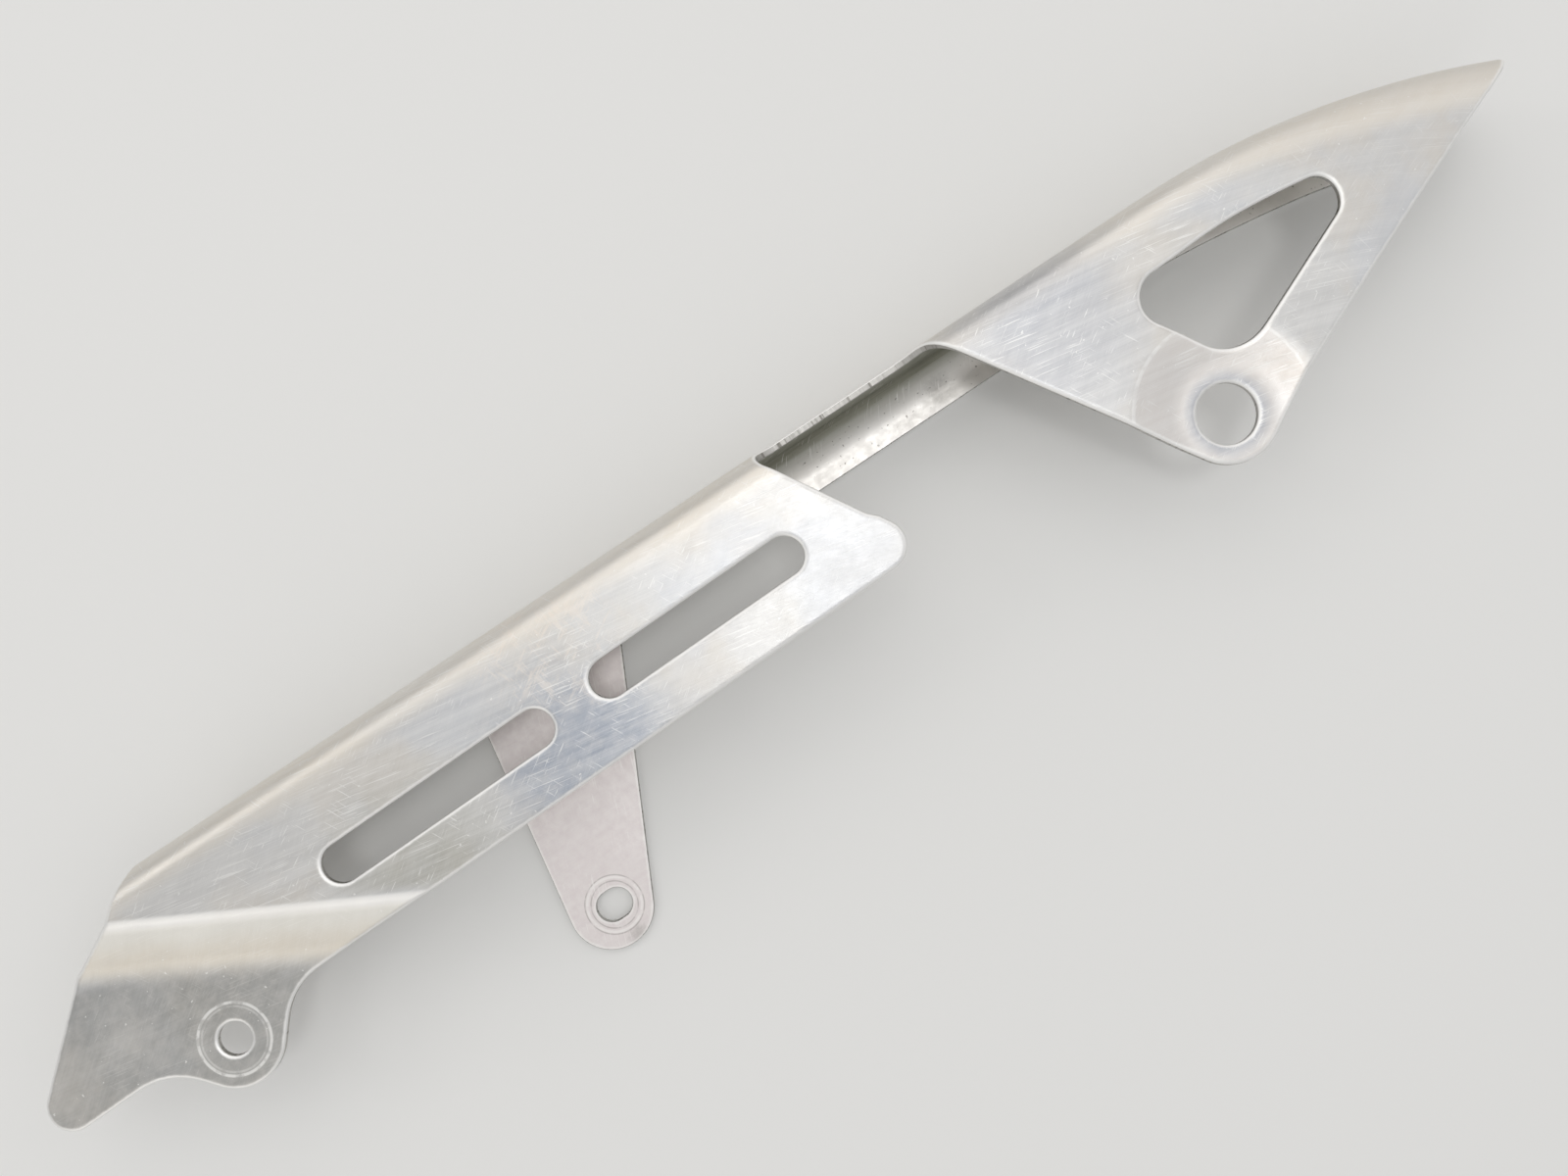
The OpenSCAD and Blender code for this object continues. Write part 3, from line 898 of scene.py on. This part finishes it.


# A round spot and a thin ring: masks for stains and the marks a bolt's head or a washer leaves, and also for
# painted shade, a painted reflection and painted highlights.
def makeSpotGroup(
    spotGrains=2.0, spotDetail=(5.0, 0.6), softRange=(-1.0, 1.0, 1.0, 0.0), ringRange=(0.4, 1.0, 1.0, 0.0),
    ringNoise=(0.45, 3.0), ringBroken=(0.34, 0.5, 0.35),
):
    takes = {"Centre": (0.0, 0.0, 0.0), "Radius": 5.0, "Soft": 1.0, "Ragged": 1.0, "Width": 0.4}
    group, given, out = newGroup("spotMark", takes, ("Spot", "Ring"))
    flat = vectorCalc("MULTIPLY", vectorCalc("SUBTRACT", given["Place"], given["Centre"]), (1, 1, 0))
    far = put("ShaderNodeVectorMath", {0: flat}, operation="LENGTH").outputs["Value"]
    grains = calc("DIVIDE", spotGrains, given["Radius"])
    grainy = calc("SUBTRACT", noise(given["Place"], grains, *spotDetail), 0.5)
    uneven = plus(far, times(grainy, given["Ragged"]))
    over = calc("DIVIDE", calc("SUBTRACT", uneven, given["Radius"]), given["Soft"])
    link(ramp(over, *softRange), out["Spot"])
    offRing = calc("ABSOLUTE", calc("SUBTRACT", far, given["Radius"]))
    ring = ramp(calc("DIVIDE", offRing, given["Width"]), *ringRange)
    broken = ramp(noise(given["Place"], *ringNoise), *ringBroken)
    link(times(ring, broken), out["Ring"])
    return group


# Colours are linear and lengths in mm on the flat pattern. A noise is scale, detail and roughness. A range
# is the two values between which a mask rises, and its strength at each.
outerLook = {
    "metal": (0.60, 0.595, 0.588),
    "warm": (0.61, 0.585, 0.55),
    "cool": (0.555, 0.57, 0.60),
    "bright": (0.86, 0.855, 0.84),
    # edge: the white of the rims' painted highlight and the step's painted brow highlight, with some wear.
    "edge": (0.93, 0.925, 0.91),
    "mottle": (0.045, 4.0, 0.6),
    "fineMottle": (0.35, 4.0, 0.65),
    "fineShift": (50, 20, 0),
    "coolNoise": (0.03, 3.0),
    "coolShift": (9, 70, 0),
    "warmRange": (0.40, 0.64),
    "coolRange": (0.46, 0.64, 0, 0.75),
    # The step's cream slope is a painted reflection; its darker foot is painted shade.
    "slopeTopReflection": (0.71, 0.70, 0.66),
    "slope": (0.655, 0.615, 0.545),
    "slopeStart": (0.6, 1.8),
    "slopeEnd": (-2, 3, 1, 0),
    "slopeReflectionTones": (4.5, 10.5),
    "wander": 4,  # how far the mottling shifts the step's tones
    "foot": (0.30, 0.30, 0.29),
    "footSoft": 6,
    "footMottle": (0.35, 0.75, 0, 0.3),
    "footPatch": {"Centre": (-17.0, 11.0, 0.0), "Radius": 4.5, "Soft": 4.0, "Ragged": 7.0},
    "footTip": {"Centre": (-34.0, 12.0, 0.0), "Radius": 8.0, "Soft": 6.0, "Ragged": 6.0},
    # The top bend's warm band is a painted reflection.
    "bend": (0.78, 0.725, 0.64),
    "bendRange": (-2.5, 1.5, 0, 0.68),
    "bendWider": 3.5,  # how much wider the warm bend is towards the tip
    "bendRun": (236, 300),
    "stain": (0.31, 0.345, 0.415),
    "stainSpot": {"Centre": (89.0, 8.0, 0.0), "Radius": 17.0, "Soft": 9.0, "Ragged": 9.0},
    "stainMottle": (0.3, 0.62, 0.7, 0.95),
    "olive": (0.41, 0.405, 0.365),
    "oliveSpot": {"Centre": (50.0, 8.5, 0.0), "Radius": 14.0, "Soft": 9.0, "Ragged": 8.0},
    "oliveEnd": (-3, 0, 1, 0),
    "lilac": (0.40, 0.41, 0.445),
    "lilacSpot": {"Centre": (206.0, 28.0, 0.0), "Radius": 17.0, "Soft": 11.0, "Ragged": 8.0},
    # The pressed land's lighter, warmer tone is a painted reflection.
    "dish": (0.74, 0.70, 0.67),
    "dishSpot": {"Soft": 1.2, "Ragged": 1.0},
    # The crease round the pressed land is a painted highlight.
    "creaseHighlightWidth": 0.5,
    "grommet": (0.31, 0.345, 0.415),
    "grommetSpot": {"Radius": 7.9, "Soft": 1.5, "Ragged": 1.2},
    "dust": (0.42, 0.36, 0.30),
    "dustSpot": {"Centre": (243.0, -4.0, 0.0), "Radius": 4.0, "Soft": 3.0, "Ragged": 6.0},
    # The bolt head's rings: its mark, drawn with a painted highlight on its edge.
    "headHighlightRing": {"Radius": 7.2, "Width": 0.42},
    "innerHeadHighlightRing": {"Radius": 6.45, "Width": 0.3},
    "headSeat": {"Radius": 7.2, "Soft": 0.3, "Ragged": 0.5},
    "lengthwise": {"Turn": radians(11), "Length": 9.0, "Pitch": 0.28, "Amount": 0.62, "Patch": 22.0},
    "crossing": {"Turn": radians(-33), "Length": 4.0, "Pitch": 0.3, "Amount": 0.38, "Patch": 14.0},
    "steep": {"Turn": radians(62), "Length": 5.0, "Pitch": 0.3, "Amount": 0.33, "Patch": 16.0},
    "calmFoot": (0, 1.5, 1, 0.3),
    "calmTip": (258, 284, 1, 0.35),
    "calmGrain": (0.3, 1.0, 0.4, 1.0),
    "nickNoise": (0.9, 2.0),
    "nickRange": (0.76, 0.80),
    "hatched": (0.80, 0.72, 0.64),
    "hatchSpot": {"Centre": (94.0, 31.0, 0.0), "Radius": 13.0, "Soft": 6.0, "Ragged": 10.0},
    "hatch": {"Turn": radians(-30), "Length": 3.5, "Pitch": 0.35},
    "otherHatch": {"Turn": radians(78), "Length": 3.0, "Pitch": 0.35},
    "hatchRange": (0.55, 0.95),
    "grain": {"Turn": radians(9)},
    "crossGrain": {"Turn": radians(-38), "Length": 5.0, "Pitch": 0.3},
    # The white band on the step's upper bend is a painted highlight.
    "browHighlightStart": (-1.1, -0.3),
    "browHighlightEnd": (0.5, 2.6, 1, 0),
    # The bright rims along the edges are mostly a painted highlight, with some wear.
    "wearAndSheenBand": {"Width": 0.85, "Ragged": 0.3},
    "roughness": (0.37, 0.425),
    "roughRange": (0.3, 0.7),
    "mottleShare": 0.6,
    "scratchDepth": -0.8,
    "bump": 0.12,
    "strength": {
        "foot": 0.8, "footPatch": 0.45, "footTip": 0.4, "olive": 0.75, "lilac": 0.7, "dish": 0.7,
        "grommet": 0.6, "dust": 0.4, "hatched": 0.5, "scratches": 0.6, "nicks": 0.7, "head": 0.85,
        "innerHead": 0.35, "crease": 0.5, "grain": 0.3, "crossGrain": 0.14, "worn": 0.9, "brow": 0.75,
        "wornRough": 0.10, "streakRough": 0.05, "seatSmooth": -0.05,
    },
}
innerLook = {
    "metal": (0.92, 0.895, 0.865),
    # The channel wall's dark olive, between the two limits below, is painted shade.
    "wall": (0.15, 0.155, 0.105),
    # Dark colour for dirt flecks and smudges, and for painted shade on the flange.
    "dirt": (0.14, 0.13, 0.11),
    "bright": (0.95, 0.94, 0.92),
    "pink": (0.735, 0.68, 0.68),
    "mottle": (0.06, 4.0, 0.6),
    "fineMottle": (0.5, 4.0, 0.65),
    "mottleRange": (0.35, 0.65, 0, 0.3),
    "wander": 1.5,
    "wallShadeStart": (-7, 1),  # from the top edge
    "wallShadeEnd": (-14, -3),  # from the lip
    # A spot of painted shade where the flange runs under the rear lobe.
    "flangeShadeSpot": {"Centre": (188.3, 66.4, 0.0), "Radius": 2.2, "Soft": 3.2, "Ragged": 3.0},
    "fleckNoise": (1.1, 1.0),
    "fleckRange": (0.74, 0.8),
    "fleckEnd": (-2, 0),  # from the lip
    "tabStart": (-1, 3),  # from the lip
    # ring: the washer's mark on the tab, painted as a bright highlight.
    "ring": {"Radius": 5.8, "Width": 0.4},
    "outerRing": {"Radius": 6.3, "Width": 0.19},
    "innerRing": {"Radius": 5.0, "Width": 0.2},
    "pinkMottle": (0.25, 0.75, 0.7, 1.0),
    "endDirt": {"Radius": 2.0, "Soft": 1.6, "Ragged": 4.0},
    "endDirtShift": (1.0, 8.6),
    "scratches": {"Turn": radians(70), "Length": 8.0, "Pitch": 0.3, "Amount": 0.5, "Patch": 15.0},
    "wearAndSheenBand": {"Width": 0.7, "Ragged": 0.3},
    "roughness": (0.42, 0.50),
    "roughRange": (0.3, 0.7),
    "scratchDepth": -0.8,
    "bump": 0.08,
    "strength": {
        "wall": 0.95, "dirt": 0.6, "flecks": 0.7, "darkRings": 0.36, "endDirt": 0.35,
        "shine": 0.45, "worn": 0.5, "grain": 0.12,
    },
}
edgeLook = {
    "metal": (0.44, 0.43, 0.41),
    "dark": (0.13, 0.12, 0.10),
    "bright": (0.60, 0.59, 0.57),
    "shear": (2.6, 3.0, 0.7),
    "shearRange": (0.35, 0.65, 0, 0.6),
    "patches": (0.25, 3.0),
    "patchRange": (0.4, 0.6),
    "pitNoise": (1.3, 3.0),
    "pitRange": (0.52, 0.66),
    "wearAndSheenBand": {"Width": 0.75, "Ragged": 0.4},
    "roughness": (0.35, 0.6),
    "roughRange": (0.3, 0.7),
    "bump": 0.25,
    "strength": {"worn": 0.3, "pits": 0.65},
}


def newMetal(name, groups):
    metal = bpy.data.materials.new(name)
    metal.use_nodes = True
    current["tree"] = metal.node_tree
    shader = metal.node_tree.nodes["Principled BSDF"]
    shader.inputs["Metallic"].default_value = 1.0
    place = put("ShaderNodeAttribute", attribute_name="sheetPlace").outputs["Vector"]
    fromEdge = put("ShaderNodeAttribute", attribute_name="edgeDistance").outputs["Fac"]

    def mark(kind, **values):
        return put("ShaderNodeGroup", {"Place": place, **values}, node_tree=groups[kind]).outputs

    return metal, shader, place, fromEdge, mark


def finishMetal(shader, colour, rough, height, strength):
    bump = put("ShaderNodeBump", {"Height": height, "Strength": strength, "Distance": 0.0002})
    link(colour, shader.inputs["Base Color"])
    link(rough, shader.inputs["Roughness"])
    link(bump.outputs["Normal"], shader.inputs["Normal"])


def outerSkinMetal(look, groups):
    metal, shader, place, fromEdge, mark = newMetal("outerSkin", groups)
    s, strength = sheetSizes, look["strength"]

    def laid(name, mask, above):
        return tint(times(mask, strength[name]), colour, above)

    mottle = noise(place, *look["mottle"])
    fineMottle = noise(vectorCalc("ADD", place, look["fineShift"]), *look["fineMottle"])
    patches = noise(vectorCalc("ADD", place, look["coolShift"]), *look["coolNoise"])
    colour = tint(ramp(mottle, *look["warmRange"]), look["metal"], look["warm"])
    colour = tint(ramp(patches, *look["coolRange"]), colour, look["cool"])

    # Front step: the cream slope is a painted reflection and the darker grey foot is painted shade
    angle, run = radians(s["stepAngle"]), s["stepRun"]
    downhill = {0: place, 1: (-sin(angle), -cos(angle), 0)}
    reach = put("ShaderNodeVectorMath", downhill, operation="DOT_PRODUCT").outputs["Value"]
    below = plus(reach, s["stepFromHole"] + run)
    uneven = plus(below, times(mottle, look["wander"]))
    paintedSlopeReflection = tint(ramp(uneven, *look["slopeReflectionTones"]), look["slopeTopReflection"], look["slope"])
    first, last, *ends = look["slopeEnd"]
    slopeEnd = ramp(below, run + first, run + last, *ends)
    colour = tint(times(ramp(below, *look["slopeStart"]), slopeEnd), colour, paintedSlopeReflection)
    paintedFootShade = tint(ramp(fineMottle, *look["footMottle"]), look["foot"], look["warm"])
    for name in ("footPatch", "footTip"):
        patch = times(mark("spot", **look[name])["Spot"], strength[name])
        paintedFootShade = tint(patch, paintedFootShade, look["warm"])
    colour = laid("foot", ramp(uneven, run, run + look["footSoft"]), paintedFootShade)

    # Top bend, painted warmer than the face as a painted reflection
    onward, across = put("ShaderNodeSeparateXYZ", {0: place}).outputs[:2]
    wider = times(ramp(onward, *look["bendRun"]), look["bendWider"])
    first, last, *ends = look["bendRange"]
    start = s["topEdge"] - s["upperBend"]
    bendMask = ramp(plus(across, wider), start + first, start + last, *ends)
    colour = tint(bendMask, colour, look["bend"])

    # Stain between the slots, and the lower strip's tone
    stain = times(mark("spot", **look["stainSpot"])["Spot"], ramp(fineMottle, *look["stainMottle"]))
    colour = tint(stain, colour, look["stain"])
    olive = times(mark("spot", **look["oliveSpot"])["Spot"], ramp(below, *look["oliveEnd"]))
    colour = laid("olive", olive, look["olive"])
    rear = {"Centre": (*outlineSizes["rearHole"], 0.0)}
    rim = {**rear, "Radius": s["dishRim"]}

    # Tone behind the notch, and the pressed land with its grommet's mark and dust; the land's lighter,
    # warmer tone is a painted reflection
    for name, fixed in (("lilac", {}), ("dish", rim), ("grommet", rear), ("dust", {})):
        colour = laid(name, mark("spot", **fixed, **look[name + "Spot"])["Spot"], look[name])

    # Hatched patch beside the slots
    lines = most(*[mark("grain", **look[name])["Streak"] for name in ("hatch", "otherHatch")])
    hatched = times(mark("spot", **look["hatchSpot"])["Spot"], ramp(lines, *look["hatchRange"]))
    colour = laid("hatched", hatched, look["hatched"])

    # Brushing, scratches, nicks, the bolt head's rings and the crease round the pressed land; the head's
    # rings are its mark with a painted highlight, and the crease is a painted highlight
    families = [mark("scratch", **look[name])["Mask"] for name in ("lengthwise", "crossing", "steep")]
    calm = times(ramp(below, *look["calmFoot"]), ramp(onward, *look["calmTip"]))
    scratches = times(most(*families), calm)
    marks = {
        "scratches": scratches,
        "nicks": ramp(noise(place, *look["nickNoise"]), *look["nickRange"]),
        "head": mark("spot", **look["headHighlightRing"])["Ring"],
        "innerHead": mark("spot", **look["innerHeadHighlightRing"])["Ring"],
        "crease": mark("spot", **rim, Width=look["creaseHighlightWidth"])["Ring"],
    }
    shine = most(*[times(mask, strength[name]) for name, mask in marks.items()])
    grain = mark("grain", **look["grain"])
    colour = laid("grain", times(grain["Streak"], ramp(calm, *look["calmGrain"])), look["bright"])
    colour = laid("crossGrain", mark("grain", **look["crossGrain"])["Streak"], look["bright"])
    colour = tint(shine, colour, look["bright"])

    # Painted highlights: the white band of the rolled rims along the edges, mixed with some wear, and the
    # white band on the step's upper bend
    worn = mark("edge", Distance=fromEdge, **look["wearAndSheenBand"])["Mask"]
    brow = times(ramp(below, *look["browHighlightStart"]), ramp(below, *look["browHighlightEnd"]))
    wearAndPaintedHighlight = most(times(worn, strength["worn"]), times(brow, strength["brow"]))
    colour = tint(wearAndPaintedHighlight, colour, look["edge"])

    share = look["mottleShare"]
    cloud = plus(times(mottle, share), times(fineMottle, 1 - share))
    rough = ramp(cloud, *look["roughRange"], *look["roughness"])
    rough = plus(rough, times(worn, strength["wornRough"]))
    offMiddle = calc("SUBTRACT", grain["Streak"], 0.5)
    rough = plus(rough, times(offMiddle, strength["streakRough"]))
    rough = plus(rough, times(mark("spot", **look["headSeat"])["Spot"], strength["seatSmooth"]))
    height = plus(grain["Height"], times(scratches, look["scratchDepth"]))
    finishMetal(shader, colour, rough, height, look["bump"])
    return metal


def innerSkinMetal(look, groups):
    metal, shader, place, fromEdge, mark = newMetal("innerSkin", groups)
    s, strength, lip = sheetSizes, look["strength"], float(lipAt(0))

    def laid(name, mask, above):
        return tint(times(mask, strength[name]), colour, above)

    across = put("ShaderNodeSeparateXYZ", {0: place}).outputs[1]
    mottle = noise(place, *look["mottle"])
    fineMottle = noise(place, *look["fineMottle"])
    colour = tint(ramp(mottle, *look["mottleRange"]), look["metal"], outerLook["warm"])

    # Wall of the channel painted darker as painted shade, a spot of painted shade where the flange runs
    # under the rear lobe, and flecks of dirt
    uneven = plus(across, times(calc("SUBTRACT", mottle, 0.5), look["wander"]))
    wallShadeStart = ramp(uneven, *[s["topEdge"] + w for w in look["wallShadeStart"]])
    wallShadeEnd = ramp(uneven, *[lip + w for w in look["wallShadeEnd"]], 1, 0)
    colour = laid("wall", times(wallShadeStart, wallShadeEnd), look["wall"])
    dirt = times(mark("spot", **look["flangeShadeSpot"])["Spot"], strength["dirt"])
    flecks = ramp(noise(place, *look["fleckNoise"]), *look["fleckRange"])
    fleckEnd = [lip + w for w in look["fleckEnd"]]
    flecks = times(flecks, ramp(across, *fleckEnd, strength["flecks"], 0))
    colour = tint(most(dirt, flecks), colour, look["dirt"])

    # Tab: pinkish metal, the washer's rings and a smudge at the end
    hole = (*tabHoleAt(), 0.0)
    onTab = ramp(across, *[lip + w for w in look["tabStart"]])
    pink = times(ramp(fineMottle, *look["pinkMottle"]), onTab)
    colour = tint(pink, colour, look["pink"])
    rings = [mark("spot", Centre=hole, **look[name])["Ring"] for name in ("outerRing", "innerRing")]
    colour = laid("darkRings", most(*rings), look["dirt"])
    smudgeAt = (hole[0] + look["endDirtShift"][0], hole[1] + look["endDirtShift"][1], 0.0)
    colour = laid("endDirt", mark("spot", Centre=smudgeAt, **look["endDirt"])["Spot"], look["dirt"])

    # Brushing, scratches, worn edges, and the washer's mark on the tab painted as a bright highlight ring
    scratches = mark("scratch", **look["scratches"])["Mask"]
    ring = mark("spot", Centre=hole, **look["ring"])["Ring"]
    shine = times(most(ring, scratches), strength["shine"])
    worn = times(mark("edge", Distance=fromEdge, **look["wearAndSheenBand"])["Mask"], strength["worn"])
    grain = mark("grain")
    colour = laid("grain", grain["Streak"], look["bright"])
    colour = tint(most(shine, worn), colour, look["bright"])
    rough = ramp(fineMottle, *look["roughRange"], *look["roughness"])
    height = plus(grain["Height"], times(scratches, look["scratchDepth"]))
    finishMetal(shader, colour, rough, height, look["bump"])
    return metal


def cutEdgeMetal(look, groups):
    metal, shader, place, _, mark = newMetal("cutEdge", groups)
    strength = look["strength"]
    shear = noise(place, *look["shear"])
    patches = noise(place, *look["patches"])
    pits = ramp(noise(place, *look["pitNoise"]), *look["pitRange"])
    pits = times(pits, ramp(patches, *look["patchRange"]))
    worn = mark("edge", Distance=patches, **look["wearAndSheenBand"])["Mask"]
    colour = tint(ramp(shear, *look["shearRange"]), look["metal"], look["bright"])
    colour = tint(times(worn, strength["worn"]), colour, look["bright"])
    colour = tint(times(pits, strength["pits"]), colour, look["dark"])
    rough = ramp(shear, *look["roughRange"], *look["roughness"])
    finishMetal(shader, colour, rough, calc("SUBTRACT", shear, pits), look["bump"])
    return metal


groups = {
    "grain": makeGrainGroup(),
    "scratch": makeScratchGroup(),
    "edge": makeEdgeGroup(),
    "spot": makeSpotGroup(),
}
print("node groups are made")
sheet.data.materials.append(outerSkinMetal(outerLook, groups))
sheet.data.materials.append(cutEdgeMetal(edgeLook, groups))
sheet.data.materials.append(innerSkinMetal(innerLook, groups))
print("metal is on the sheet")
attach(sheet, "root")
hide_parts("chain_guard")
